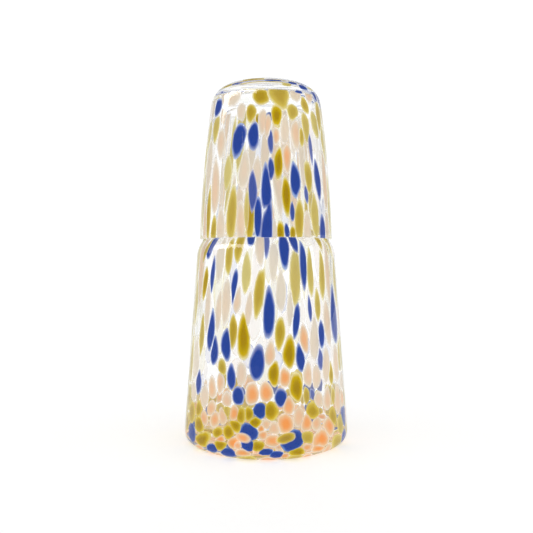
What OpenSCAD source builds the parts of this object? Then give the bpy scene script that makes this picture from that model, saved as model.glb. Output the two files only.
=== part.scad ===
// Bedside carafe with an upturned tumbler for a lid, in clear blown glass.
// Coloured glass chips are melted into the walls of both. They are round near the foot
// and drawn out into long flecks further up.
// Lengths are in millimetres and +Z is up. The origin is on the table, under the middle
// of the carafe.

/* [Carafe] */
// Height from the table to the lip of the neck
carafe_h = 190; // [180:0.5:200]
// Widest diameter, just above the foot
body_d = 94.6; // [88:0.2:104]
// Height at which the straight wall turns into the shoulder
body_h = 107; // [100:0.5:112]
// Degrees by which the body's wall leans in
body_lean = 4; // [3:0.1:5]
// Thickness of the wall
body_wall = 2.8; // [2.4:0.1:3.6]
// Thickness of the glass under the inside floor
body_floor = 7; // [5.5:0.5:10]
// Radius of the turn from the wall to the foot
foot_r = 6.5; // [5:0.5:10]
// Radius of the turn from the wall to the floor inside
floor_r = 9; // [5:0.5:12]
// Width of the flat ring that touches the table
foot_ring_w = 5; // [3:0.5:10]
// Height of the push-up in the middle of the foot
punt_h = 2.5; // [1:0.1:3.5]
// Radius of the shoulder
shoulder_r = 17; // [15:0.5:19]

/* [Neck] */
// Degrees by which the neck leans in
neck_lean = 4.7; // [3:0.1:5.5]
// Radius of the hollow turn from the shoulder to the neck
neck_turn_r = 5; // [3:0.5:6]

/* [Tumbler] */
// Degrees by which the wall leans in at the rim
tumbler_lean = 1.8; // [1.2:0.1:2.4]
// Radius of the wall's slow outward bow
tumbler_bow_r = 750; // [650:10:1200]
// Thickness of the wall
tumbler_wall = 2.2; // [2:0.1:2.8]
// Thickness of the heavy end
tumbler_end = 6.5; // [4:0.5:9]
// Radius of the turn from the wall to the heavy end
tumbler_turn_r = 13; // [10:0.5:15]
// The same turn on the inside
tumbler_inner_r = 9; // [6:0.5:12]

/* [Coloured chips] */
// Thickness of a chip at its middle
chip_t = 0.9; // [0.5:0.1:1.2]
// Length of the round chips near the foot
chip_round_l = 9; // [7:0.5:12]
// Width of the round chips near the foot
chip_round_w = 7; // [5:0.5:8]
// Length of the drawn-out chips
chip_long_l = 21; // [15:0.5:24]
// Width of the drawn-out chips
chip_long_w = 4.8; // [3:0.1:6]
// Least clear glass between a chip and its neighbours
chip_gap = 1.6; // [1:0.1:3]
// Most degrees by which a chip leans to one side
chip_lean = 2.5; // [0:0.5:4]
// Way up the carafe's wall over which the chips grow from round to drawn-out
chip_draw_l = 75; // [50:5:100]
// Number that picks one scatter of the chips
chip_seed = 11; // [1:1:99]

/* [Fit] */
// Degrees round the shoulder's turn, from level, at which the tumbler's rim rests
seat_angle = 39.9; // [34:0.1:44]
// Clearance between the tumbler's rim and the shoulder under it
seat_gap = 0.3; // [0.2:0.05:0.5]
// Air between the root of the neck and the tumbler's rim
neck_gap = 6.5; // [4:0.1:9]
// Air between the neck's lip and the inside of the tumbler's heavy end
lip_gap = 9.3; // [6:0.1:14]

/* [Hidden] */
$fn = 96;

// Degrees in half a turn
half_turn = 180;
// Steps in each rounded turn of an outline
turn_steps = 10;
// Corners round the edge of a chip
chip_sides = 8;
// How far up its column the lowest chip may start, as a share of a chip's length
chip_start_share = 0.8;
// Narrowest and shortest chip, as a share of the full size
chip_least_share = 0.8;
// Shortest chip at the upper end of a column, which has less room, as such a share too
chip_last_share = 0.4;
// Angle on the foot's turn, in degrees from level, from which the chips start
chip_foot_angle = -70;
// Angle on the turn to the tumbler's heavy end, in degrees from level, at which they stop
chip_end_angle = 45;
// Random draws that settle one chip
chip_draws = 5;
// Step from the body's scatter to the neck's, and from that to the tumbler's
seed_step = 100;
// Part of the places in the wall that hold a chip
chip_filled_share = 0.86;
// Parts of the chips that are blue and amber; the rest are peach
blue_share = 0.24;
amber_share = 0.3;

// Points and directions in the plane of an outline, as [radius, height]
function toward(angle) = [cos(angle), sin(angle)];
function bearing(v) = atan2(v[1], v[0]);
function arc(centre, r, from, to) = [
    for (i = [0 : turn_steps]) centre + r * toward(from + (to - from) * i / turn_steps)
];

// The body's wall, from the foot's turn to the start of the shoulder
foot_c = [body_d / 2 - foot_r, foot_r];
wall_foot = foot_c + foot_r * toward(body_lean);
wall_top = [wall_foot[0] - (body_h - wall_foot[1]) * tan(body_lean), body_h];
shoulder_c = wall_top - shoulder_r * toward(body_lean);

// The middle of the tumbler's rounded rim, which rests on the shoulder
rim_r = tumbler_wall / 2;
rim_c = shoulder_c + (shoulder_r + seat_gap + rim_r) * toward(seat_angle);

// The neck, and the hollow turn that touches both the neck and the shoulder
lip_z = carafe_h - body_wall / 2;
neck_root_r = rim_c[0] - rim_r - neck_gap;
neck_half = body_wall / 2 / cos(neck_lean);
lip_c = [neck_root_r - neck_half - (lip_z - rim_c[1]) * tan(neck_lean), lip_z];
neck_down = [sin(neck_lean), -cos(neck_lean)];
above_turn = lip_c + (body_wall / 2 + neck_turn_r) * toward(neck_lean) - shoulder_c;
turn_reach = shoulder_r + neck_turn_r;
turn_along = above_turn * neck_down;
turn_drop = -turn_along - sqrt(turn_along ^ 2 - above_turn * above_turn + turn_reach ^ 2);
neck_turn_c = shoulder_c + above_turn + turn_drop * neck_down;
shoulder_end = bearing(neck_turn_c - shoulder_c);

// The turn from the wall to the floor inside, which touches both
inner_foot_x = wall_foot[0] - body_wall * cos(body_lean);
inner_foot_z = wall_foot[1] - body_wall * sin(body_lean);
floor_c_z = body_floor + floor_r;
floor_c_x = inner_foot_x - (floor_c_z - inner_foot_z) * tan(body_lean) - floor_r / cos(body_lean);
floor_c = [floor_c_x, floor_c_z];

// The push-up, a shallow dome between the axis and the contact ring
ring_inner_r = foot_c[0] - foot_ring_w;
punt_r = (ring_inner_r ^ 2 + punt_h ^ 2) / (2 * punt_h);
punt_c = [0, punt_h - punt_r];
punt_edge = bearing([ring_inner_r, 0] - punt_c);

// The tumbler's wall and heavy end, over the neck
inner_end = carafe_h + lip_gap;
tumbler_top = inner_end + tumbler_end;
bow_c = rim_c + (rim_r - tumbler_bow_r) * toward(tumbler_lean);
end_turn_c = on_bow(tumbler_bow_r - tumbler_turn_r, tumbler_top - tumbler_turn_r);
inner_turn_c = on_bow(tumbler_bow_r - tumbler_wall - tumbler_inner_r, inner_end - tumbler_inner_r);
function on_bow(r, z) = bow_c + r * toward(asin((z - bow_c[1]) / r));

function carafe_outline() = concat(
    [[0, body_floor]],
    arc(punt_c, punt_r, 90, punt_edge),
    arc(foot_c, foot_r, -90, body_lean),
    arc(shoulder_c, shoulder_r, body_lean, shoulder_end),
    arc(neck_turn_c, neck_turn_r, shoulder_end + half_turn, neck_lean + half_turn),
    arc(lip_c, body_wall / 2, neck_lean, neck_lean + half_turn),
    arc(neck_turn_c, neck_turn_r + body_wall, neck_lean + half_turn, shoulder_end + half_turn),
    arc(shoulder_c, shoulder_r - body_wall, shoulder_end, body_lean),
    arc(floor_c, floor_r, body_lean, -90)
);

function tumbler_outline() = concat(
    [[0, inner_end]],
    arc(inner_turn_c, tumbler_inner_r, 90, bearing(inner_turn_c - bow_c)),
    arc(bow_c, tumbler_bow_r - tumbler_wall, bearing(inner_turn_c - bow_c), tumbler_lean),
    arc(rim_c, rim_r, tumbler_lean - half_turn, tumbler_lean),
    arc(bow_c, tumbler_bow_r, tumbler_lean, bearing(end_turn_c - bow_c)),
    arc(end_turn_c, tumbler_turn_r, bearing(end_turn_c - bow_c), 90),
    [[0, tumbler_top]]
);

// The middle of a wall, where the chips lie, as a path of turns and straights that leads up.
// Each piece is its length, and a function from the way along it to a point and the bearing
// of the wall's outside there.
function turn_piece(centre, r, from, to) = [
    r * (to - from) * PI / half_turn,
    function (s) let (a = from + s / r * half_turn / PI) [centre + r * toward(a), a]
];
function straight_piece(start, end, outward) = [
    norm(end - start),
    function (s) [start + (end - start) * s / norm(end - start), outward]
];
function path_length(path, i = 0) = i == len(path) ? 0 : path[i][0] + path_length(path, i + 1);
function along(path, s, i = 0) =
    let (piece = path[i], reach = piece[0], place = piece[1])
    s <= reach || i == len(path) - 1 ? place(s) : along(path, s - reach, i + 1);

body_depth = body_wall / 2;
body_path = [
    turn_piece(foot_c, foot_r - body_depth, chip_foot_angle, body_lean),
    straight_piece(wall_foot - body_depth * toward(body_lean),
        wall_top - body_depth * toward(body_lean), body_lean),
    turn_piece(shoulder_c, shoulder_r - body_depth, body_lean, shoulder_end)
];
neck_root = neck_turn_c - (neck_turn_r + body_depth) * toward(neck_lean);
neck_path = [straight_piece(neck_root, lip_c + body_wall * neck_down, neck_lean)];
tumbler_depth = tumbler_wall / 2;
tumbler_start = tumbler_lean + tumbler_wall / tumbler_bow_r * half_turn / PI;
tumbler_bend = bearing(end_turn_c - bow_c);
tumbler_path = [
    turn_piece(bow_c, tumbler_bow_r - tumbler_depth, tumbler_start, tumbler_bend),
    turn_piece(end_turn_c, tumbler_turn_r - tumbler_depth, tumbler_bend, chip_end_angle)
];

// Full length of a chip at a way along its path
round_to_long = function (s)
    chip_round_l + (chip_long_l - chip_round_l) * min(1, s / chip_draw_l);
all_long = function (s) chip_long_l;

// Chips in one column, each as [way along the path, turn, length, width, lean, colour draw]
function column(s, path, columns, turn, full, draws, i) =
    let (
        room = path_length(path) - s,
        l = min(room, full(s) * (chip_least_share + (1 - chip_least_share) * draws[i])),
        pitch = 2 * PI * along(path, s + l / 2)[0][0] / columns,
        w = (pitch - chip_gap) * (chip_least_share + (1 - chip_least_share) * draws[i + 1]),
        lean = chip_lean * (2 * draws[i + 2] - 1),
        filled = draws[i + 3] < chip_filled_share
    )
    room < chip_last_share * full(s) ? [] : concat(
        filled ? [[s + l / 2, turn, l, w, lean, draws[i + 4]]] : [],
        column(s + l + chip_gap, path, columns, turn, full, draws, i + chip_draws)
    );

// Chips all round a path, in columns that each start at their own place. The columns are
// as many as chips of the full width have room for where the path is widest.
function scatter(path, widest, full, wid, seed) =
    let (
        columns = floor(2 * PI * widest / (wid + chip_gap)),
        starts = rands(0, chip_start_share, columns, seed),
        most = chip_draws * (2 + ceil(path_length(path) / (chip_last_share * full(0) + chip_gap)))
    )
    [
        for (c = [0 : columns - 1])
            each column(starts[c] * full(0), path, columns, 2 * half_turn * c / columns, full,
                rands(0, 1, most, seed + c + 1), 0)
    ];

body_chips = scatter(body_path, wall_foot[0] - body_depth, round_to_long, chip_round_w, chip_seed);
neck_chips = scatter(neck_path, neck_root[0], all_long, chip_long_w, chip_seed + seed_step);
tumbler_chips = scatter(tumbler_path, rim_c[0], all_long, chip_long_w,
    chip_seed + 2 * seed_step);

function tinted(chips, low, high) = [for (c = chips) if (c[5] >= low && c[5] < high) c];
function blue(chips) = tinted(chips, 0, blue_share);
function amber(chips) = tinted(chips, blue_share, blue_share + amber_share);
function peach(chips) = tinted(chips, blue_share + amber_share, 2);

// A point of the wall: [radius, height], and a distance round from a turn in degrees
function on_wall(p, turn, across) =
    let (a = turn + across / p[0] * half_turn / PI) [p[0] * cos(a), p[0] * sin(a), p[1]];

// Corners of one chip, a lens that follows the wall: its edge, then its two middles
function chip_points(c, path) =
    let (middle = along(path, c[0]), rise = chip_t / 2 * toward(middle[1]))
    concat(
        [
            for (i = [0 : chip_sides - 1])
                let (
                    u = c[2] / 2 * cos(2 * half_turn * i / chip_sides),
                    v = c[3] / 2 * sin(2 * half_turn * i / chip_sides),
                    place = along(path, c[0] + u * cos(c[4]) - v * sin(c[4])),
                    across = u * sin(c[4]) + v * cos(c[4])
                )
                on_wall(place[0], c[1], across)
        ],
        [on_wall(middle[0] + rise, c[1], 0), on_wall(middle[0] - rise, c[1], 0)]
    );
function chip_faces(base) = [
    for (i = [0 : chip_sides - 1])
        let (next = (i + 1) % chip_sides)
        each [
            [base + i, base + next, base + chip_sides],
            [base + next, base + i, base + chip_sides + 1]
        ]
];

// All the chips of a list, as separate lenses
module chips(list, path) {
    polyhedron(
        points = [for (c = list) each chip_points(c, path)],
        faces = [for (i = [0 : len(list) - 1]) each chip_faces(i * (chip_sides + 2))]
    );
}

module carafe_chips(body_list, neck_list) {
    chips(body_list, body_path);
    chips(neck_list, neck_path);
}

module carafe_glass() {
    color([0.93, 0.96, 0.96, 0.35])
    difference() {
        rotate_extrude() polygon(carafe_outline());
        carafe_chips(body_chips, neck_chips);
    }
}

module carafe_blue_chips() {
    color([0.16, 0.26, 0.62])
    carafe_chips(blue(body_chips), blue(neck_chips));
}

module carafe_amber_chips() {
    color([0.74, 0.62, 0.12])
    carafe_chips(amber(body_chips), amber(neck_chips));
}

module carafe_peach_chips() {
    color([0.94, 0.8, 0.68])
    carafe_chips(peach(body_chips), peach(neck_chips));
}

module tumbler_glass() {
    color([0.93, 0.96, 0.96, 0.35])
    difference() {
        rotate_extrude() polygon(tumbler_outline());
        chips(tumbler_chips, tumbler_path);
    }
}

module tumbler_blue_chips() {
    color([0.16, 0.26, 0.62])
    chips(blue(tumbler_chips), tumbler_path);
}

module tumbler_amber_chips() {
    color([0.74, 0.62, 0.12])
    chips(amber(tumbler_chips), tumbler_path);
}

module tumbler_peach_chips() {
    color([0.94, 0.8, 0.68])
    chips(peach(tumbler_chips), tumbler_path);
}

carafe_glass();
carafe_blue_chips();
carafe_amber_chips();
carafe_peach_chips();
tumbler_glass();
tumbler_blue_chips();
tumbler_amber_chips();
tumbler_peach_chips();
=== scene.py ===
"""Looks of a bedside carafe with its upturned tumbler, in clear blown glass.

Coloured chips of glass are melted into both walls. They are laid out flat, on the bubble of
glass before it is blown. Each chip grows there until it meets its neighbours, and the flat
layer is then wrapped onto the drawn-out wall. Sizes of the vessels and their chips are in
millimetres and degrees, meshes and the studio are in metres, and +Z is up.
"""

import logging
import math
from dataclasses import dataclass
from enum import IntEnum
from typing import Any, Iterable, Sequence

import bpy
import numpy as np
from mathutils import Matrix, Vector

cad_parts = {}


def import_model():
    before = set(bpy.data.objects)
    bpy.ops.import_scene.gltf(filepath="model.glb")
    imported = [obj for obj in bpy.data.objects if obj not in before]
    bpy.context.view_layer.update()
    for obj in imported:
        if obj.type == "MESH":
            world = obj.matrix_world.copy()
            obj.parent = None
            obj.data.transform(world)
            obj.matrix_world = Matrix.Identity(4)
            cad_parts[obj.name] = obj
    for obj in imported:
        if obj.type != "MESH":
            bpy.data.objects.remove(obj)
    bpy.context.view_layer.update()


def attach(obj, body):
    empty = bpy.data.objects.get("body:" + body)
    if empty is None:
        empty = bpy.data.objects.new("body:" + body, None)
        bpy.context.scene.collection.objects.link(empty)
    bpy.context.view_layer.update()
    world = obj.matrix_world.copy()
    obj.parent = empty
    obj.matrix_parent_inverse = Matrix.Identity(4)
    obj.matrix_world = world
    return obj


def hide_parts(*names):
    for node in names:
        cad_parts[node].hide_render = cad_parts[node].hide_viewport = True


LOG = logging.getLogger("carafe")
MM = 0.001
FULL_TURN = 2 * math.pi
VECTOR = "FLOAT_VECTOR"

Colour = tuple[float, float, float, float]
Shares = tuple[float, float, float, float]


# Node trees


@dataclass(frozen=True)
class Wire:
    """An output of a node, with arithmetic that adds Math nodes to its tree."""

    bench: "Bench"
    socket: bpy.types.NodeSocket

    def __add__(self, other: Any) -> "Wire":
        """The sum."""
        return self.bench.math("ADD", self, other)

    def __sub__(self, other: Any) -> "Wire":
        """The difference."""
        return self.bench.math("SUBTRACT", self, other)

    def __rsub__(self, other: float) -> "Wire":
        """The difference, with this wire taken away."""
        return self.bench.math("SUBTRACT", other, self)

    def __mul__(self, other: Any) -> "Wire":
        """The product."""
        return self.bench.math("MULTIPLY", self, other)

    def __truediv__(self, other: Any) -> "Wire":
        """The quotient."""
        return self.bench.math("DIVIDE", self, other)

    def __rtruediv__(self, other: float) -> "Wire":
        """The quotient, with this wire as its divisor."""
        return self.bench.math("DIVIDE", other, self)

    __radd__ = __add__
    __rmul__ = __mul__

    def at_most(self, other: Any) -> "Wire":
        """The smaller of the two."""
        return self.bench.math("MINIMUM", self, other)

    def at_least(self, other: Any) -> "Wire":
        """The larger of the two."""
        return self.bench.math("MAXIMUM", self, other)

    def within_one(self) -> "Wire":
        """The value held between 0 and 1."""
        return self.at_least(0.0).at_most(1.0)


@dataclass(frozen=True)
class Made:
    """A node that was added, whose outputs are read by name or by place."""

    bench: "Bench"
    node: bpy.types.Node

    def __getitem__(self, key: int | str) -> Wire:
        """The output of that name, or at that place among those in use."""
        return Wire(self.bench, self.bench.pick(self.node.outputs, key))


@dataclass(frozen=True)
class Bench:
    """Builds one node tree, for a material, the world or geometry."""

    tree: bpy.types.NodeTree

    @classmethod
    def of(cls, owner: bpy.types.Material | bpy.types.World) -> "Bench":
        """Empties the node tree of a material or a world, to build it anew.

        Args:
            owner: the material or the world.

        Returns:
            The bench of its tree.
        """
        owner.use_nodes = True
        owner.node_tree.nodes.clear()
        return cls(owner.node_tree)

    @staticmethod
    def pick(sockets: Iterable[bpy.types.NodeSocket], key: int | str) -> bpy.types.NodeSocket:
        """Finds a socket by its name, or by its place among those in use."""
        used = [s for s in sockets if s.enabled]
        return used[key] if isinstance(key, int) else next(s for s in used if s.name == key)

    def add(self, kind: str, values: dict | None = None, **settings: Any) -> Made:
        """Adds a node.

        Args:
            kind: the node's type.
            values: what goes into its inputs, by name or place: wires or plain values.
            settings: its properties, which are set first.

        Returns:
            The new node.
        """
        node = self.tree.nodes.new(kind)
        for name, value in settings.items():
            setattr(node, name, value)
        for key, value in (values or {}).items():
            socket = self.pick(node.inputs, key)
            if isinstance(value, Wire):
                self.tree.links.new(value.socket, socket)
            else:
                socket.default_value = value
        return Made(self, node)

    def math(self, operation: str, *terms: Any) -> Wire:
        """The result of a Math node."""
        return self.add("ShaderNodeMath", dict(enumerate(terms)), operation=operation)[0]

    def vector(self, operation: str, *terms: Any) -> Wire:
        """The result of a Vector Math node."""
        return self.add("ShaderNodeVectorMath", dict(enumerate(terms)), operation=operation)[0]

    def scaled(self, vector: Wire, size: Any) -> Wire:
        """A vector or a colour times a number."""
        return self.add("ShaderNodeVectorMath", {0: vector, "Scale": size}, operation="SCALE")[0]

    def parts(self, vector: Wire) -> Made:
        """A vector's X, Y and Z."""
        return self.add("ShaderNodeSeparateXYZ", {0: vector})

    def joined(self, x: Any = 0.0, y: Any = 0.0, z: Any = 0.0) -> Wire:
        """A vector with this X, Y and Z."""
        return self.add("ShaderNodeCombineXYZ", {"X": x, "Y": y, "Z": z})["Vector"]

    def blend(self, factor: Any, a: Any, b: Any) -> Wire:
        """Two colours mixed, from the first at 0 to the second at 1."""
        values = {"Factor": factor, "A": a, "B": b}
        return self.add("ShaderNodeMix", values, data_type="RGBA")["Result"]

    def eased(self, value: Wire, start: float, end: Any) -> Wire:
        """Eases from 0 where the value is at the start to 1 where it is at the end."""
        values = {"Value": value, "From Min": start, "From Max": end}
        return self.add("ShaderNodeMapRange", values, interpolation_type="SMOOTHSTEP")["Result"]

    def drawn_noise(self, squeeze: float, scale: float, detail: float) -> Wire:
        """Noise on the piece's own coordinates, which is drawn out along the axis.

        Args:
            squeeze: its fineness along the axis, as a share of that across.
            scale: its fineness.
            detail: how many finer layers it has.

        Returns:
            Its value.
        """
        place = self.add("ShaderNodeTexCoord")["Object"]
        drawn = self.vector("MULTIPLY", place, (1.0, 1.0, squeeze))
        values = {"Vector": drawn, "Scale": scale, "Detail": detail}
        return self.add("ShaderNodeTexNoise", values)["Fac"]

    def surface(self, values: dict) -> None:
        """Ends a material with a Principled BSDF that has these inputs."""
        shader = self.add("ShaderNodeBsdfPrincipled", values)["BSDF"]
        self.add("ShaderNodeOutputMaterial", {"Surface": shader})


# Outlines and meshes


def toward(angle: float) -> np.ndarray:
    """The direction at an angle from level, in degrees."""
    return np.array([math.cos(math.radians(angle)), math.sin(math.radians(angle))])


def bearing(direction: np.ndarray) -> float:
    """The angle of a direction from level, in degrees."""
    return math.degrees(math.atan2(direction[1], direction[0]))


def along_wall(start: np.ndarray, height: float, lean: float) -> np.ndarray:
    """The point at a height on a straight wall from its start, which leans in by degrees."""
    inward = (height - start[1]) * math.tan(math.radians(lean))
    return np.array([start[0] - inward, height])


@dataclass(frozen=True)
class Turn:
    """One rounded turn of an outline, in millimetres and degrees from level.

    It is hollow, with its glass outside the circle, where it runs the other way round.
    """

    centre: Sequence[float]
    radius: float
    start: float
    end: float

    FEWEST_STEPS = 6

    def points(self, pitch: float) -> np.ndarray:
        """Points along the turn.

        Args:
            pitch: the longest step, in millimetres.

        Returns:
            Rows of radius and height, in millimetres.
        """
        length = self.radius * math.radians(abs(self.end - self.start))
        steps = max(self.FEWEST_STEPS, math.ceil(length / pitch))
        a = np.radians(np.linspace(self.start, self.end, steps + 1))
        return np.array(self.centre) + self.radius * np.stack([np.cos(a), np.sin(a)], 1)


def outline(parts: Sequence[Turn | tuple[float, float]], pitch: float) -> np.ndarray:
    """Joins turns and single points by straights.

    Args:
        parts: turns, and points as radius and height, in millimetres.
        pitch: the longest step, in millimetres.

    Returns:
        Rows of radius and height, in millimetres.
    """
    same_point = 1e-3
    rows: list[np.ndarray] = []
    for part in parts:
        piece = part.points(pitch) if isinstance(part, Turn) else np.array([part], float)
        if rows:
            last = rows[-1][-1]
            gap = float(np.linalg.norm(piece[0] - last))
            if gap < same_point:
                piece = piece[1:]
            elif gap > pitch:
                share = np.linspace(0, 1, math.ceil(gap / pitch) + 1)[1:-1, None]
                rows.append(last + (piece[0] - last) * share)
        rows.append(piece)
    return np.concatenate(rows)


def way_along(rows: np.ndarray) -> np.ndarray:
    """The way along an outline to each of its points."""
    return np.r_[0, np.cumsum(np.linalg.norm(np.diff(rows, axis=0), axis=1))]


def outward(rows: np.ndarray) -> np.ndarray:
    """Unit normals of an outline that has its glass on the left.

    Args:
        rows: the outline's points.

    Returns:
        One normal for each point.
    """
    along = np.gradient(rows, axis=0)
    along /= np.linalg.norm(along, axis=1, keepdims=True)
    return np.stack([along[:, 1], -along[:, 0]], 1)


def mesh_object(name: str, points: np.ndarray, faces: list) -> bpy.types.Object:
    """Makes a smooth object from points and faces.

    Args:
        name: its name.
        points: rows of x, y and z.
        faces: tuples of point numbers.

    Returns:
        The object, in the scene.
    """
    mesh = bpy.data.meshes.new(name)
    mesh.from_pydata(points.tolist(), [], faces)
    mesh.validate()
    mesh.polygons.foreach_set("use_smooth", [True] * len(mesh.polygons))
    obj = bpy.data.objects.new(name, mesh)
    bpy.context.scene.collection.objects.link(obj)
    return obj


@dataclass(frozen=True)
class Ripple:
    """The slight unevenness of a blown wall: lines drawn up it, that swell and fade."""

    depth: float
    fewest: int
    most: int
    seed: int

    # How fast the slowest line swells and fades, and how much faster others may, in radians
    # for each millimetre.
    SLOWEST = 0.02
    FASTER = 0.05

    def at(self, turn: np.ndarray, way: np.ndarray) -> np.ndarray:
        """How far the wall stands out.

        Args:
            turn: bearing round the axis, in radians.
            way: distance along the outline, in millimetres.

        Returns:
            Distances in millimetres, the size of which is mostly under the depth.
        """
        rng = np.random.default_rng(self.seed)
        total = np.zeros(np.broadcast(turn, way).shape)
        counts = range(self.fewest, self.most + 1, 2)
        for count in counts:
            phase, pace, weight = rng.random(3)
            swell = np.cos(way * (self.SLOWEST + self.FASTER * pace) + FULL_TURN * pace)
            total += weight * swell * np.cos(count * turn + FULL_TURN * phase)
        return self.depth * total / math.sqrt(len(counts))


def lathe(name: str, rows: np.ndarray, sides: int, shift: np.ndarray) -> bpy.types.Object:
    """Turns an outline that starts and ends on the axis into a closed solid.

    Args:
        name: the object's name.
        rows: the outline, in millimetres.
        sides: faces round the axis.
        shift: how far each point stands out, for each row between the ends and each side.

    Returns:
        The object.
    """
    a = np.arange(sides) * FULL_TURN / sides
    rim = rows[1:-1]
    normal = outward(rows)[1:-1]
    r = rim[:, :1] + normal[:, :1] * shift
    z = rim[:, 1:] + normal[:, 1:] * shift
    ring = np.stack([r * np.cos(a), r * np.sin(a), z + 0 * a], 2).reshape(-1, 3)
    poles = [[0, 0, rows[0, 1]], [0, 0, rows[-1, 1]]]
    points = np.concatenate([ring, poles]) * MM
    low, high = len(ring), len(ring) + 1
    top = (len(rim) - 1) * sides
    faces = []
    for j in range(sides):
        k = (j + 1) % sides
        faces.append((low, k, j))
        faces.append((high, top + j, top + k))
        for i in range(0, top, sides):
            faces.append((i + j, i + k, i + sides + k, i + sides + j))
    return mesh_object(name, points, faces)


# Finishes


class Kind(IntEnum):
    """What lies at one place of the wall."""

    BLUE = 0
    AMBER = 1
    PEACH = 2
    CLEAR = 3


@dataclass(frozen=True)
class ClearGlass:
    """Clear polished glass, with faint lines drawn up it and a darker edge that is partly painted shade.
    """

    name: str = "clear_glass"
    tint: Colour = (0.995, 1.0, 0.998, 1.0)
    # At a slant the glass turns to this grey-blue: in part for the longer way through the glass, in part
    # painted shade on its edges.
    edge_shade: Colour = (0.42, 0.48, 0.55, 1.0)
    edge_from: float = 0.6
    edge_to: float = 0.9
    sheen: Colour = (0.35, 0.35, 0.35, 1.0)
    index: float = 1.5
    lines_squeeze: float = 0.12
    lines_scale: float = 160.0
    lines_detail: float = 1.0
    line_depth: float = 0.02

    def material(self) -> bpy.types.Material:
        """Builds the material.

        Returns:
            The material.
        """
        material = bpy.data.materials.new(self.name)
        bench = Bench.of(material)
        lines = bench.drawn_noise(self.lines_squeeze, self.lines_scale, self.lines_detail)
        bump = {"Strength": self.line_depth, "Distance": MM, "Height": lines}
        # Partly painted shade: the colour darkens where the surface is seen at a slant.
        slant = bench.add("ShaderNodeLayerWeight")["Facing"]
        grazing = ((slant - self.edge_from) / (self.edge_to - self.edge_from)).within_one()
        bench.surface(
            {
                "Base Color": bench.blend(grazing * grazing, self.tint, self.edge_shade),
                "Roughness": 0.0,
                "IOR": self.index,
                "Specular Tint": self.sheen,
                "Transmission Weight": 1.0,
                "Normal": bench.add("ShaderNodeBump", bump)["Normal"],
            }
        )
        return material


@dataclass(frozen=True)
class ChipFinish:
    """Coloured glass of a melted-in chip, dense at its middle and thin at its rim.

    Its back, inside the wall, is painted a pale backlight, darker in base colour and glowing
    more, as light coming through the wall from behind, and every chip glows a little as painted
    light passing through it. A chip that fades softly is thinner, and one that lies over others
    has no rim of another colour.
    """

    name: str
    core: Colour
    body: Colour
    pale: Colour
    rim: Colour
    # Painted backlight: the pale colour a chip's back is given, as light coming through the wall from
    # behind.
    painted_backlight: Colour
    core_from: float
    core_to: float
    rim_width: float
    core_least: float = 0.0
    solid: float = 1.0
    roughness: float = 0.6
    # Painted light: every chip glows by this much, as light passing through it; its back glows more and
    # is darker in base colour by the two shares below.
    painted_glow: float = 0.35
    lit_inside: float = 1.35
    shadow_inside: float = 0.65

    ATTRIBUTES = ("inset", "shade", "soft", "inside")
    # Clouds drawn out in the colour, and how far they shift its layers.
    CLOUD = (0.15, 260.0, 2.0)
    CLOUDED = 0.45
    # The inset where the rim's own colour starts to give way, how far in it ends, in rim
    # widths, and how much wider a soft rim fades.
    RIM_FROM = 0.02
    RIM_REACH = 2.2
    SOFTER_RIM = 1.6
    # How soft a chip is from where it counts as lying over others, and how fast that sets in.
    OVERLAID_FROM = 0.7
    OVERLAID_RISE = 5
    # How much of its back is painted as backlight, and how much thinner a soft chip is, and a pale one.
    BACKLIT_SHARE = 0.94
    THINNED = 0.12
    THINNED_PALE = 1.3

    def material(self) -> bpy.types.Material:
        """Builds the material.

        Returns:
            The material.
        """
        material = bpy.data.materials.new(self.name)
        bench = Bench.of(material)
        inset, shade, soft, inside = (
            bench.add("ShaderNodeAttribute", attribute_name=name)["Fac"] for name in self.ATTRIBUTES
        )
        cloud = bench.drawn_noise(*self.CLOUD)
        depth = inset + self.CLOUDED * (cloud - 0.5)
        off_rim = bench.eased(depth, self.RIM_FROM, self.rim_width * self.RIM_REACH)
        overlaid = ((soft - self.OVERLAID_FROM) * self.OVERLAID_RISE).within_one()
        tone = bench.blend(1 - shade, self.body, self.pale)
        tone = bench.blend((off_rim + overlaid).within_one(), self.rim, tone)
        dense = self.core_least + (1 - self.core_least) * shade
        tone = bench.blend(bench.eased(depth, self.core_from, self.core_to) * dense, tone, self.core)
        colour = bench.blend(self.BACKLIT_SHARE * inside, tone, self.painted_backlight)
        cover = bench.eased(inset, 0.0, self.rim_width * (1 + self.SOFTER_RIM * soft))
        thinned = self.THINNED * soft * (self.THINNED_PALE - shade)
        # Painted light: the back is darker in base colour and glows more, as light from behind, and the
        # whole chip glows a little, as light passing through.
        bench.surface(
            {
                "Base Color": bench.scaled(colour, 1 - self.shadow_inside * inside),
                "Roughness": self.roughness,
                "Specular IOR Level": 0.0,
                "Emission Color": bench.scaled(colour, 1 + self.lit_inside * inside),
                "Emission Strength": self.painted_glow,
                "Alpha": cover * self.solid * (1 - thinned),
            }
        )
        return material


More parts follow.
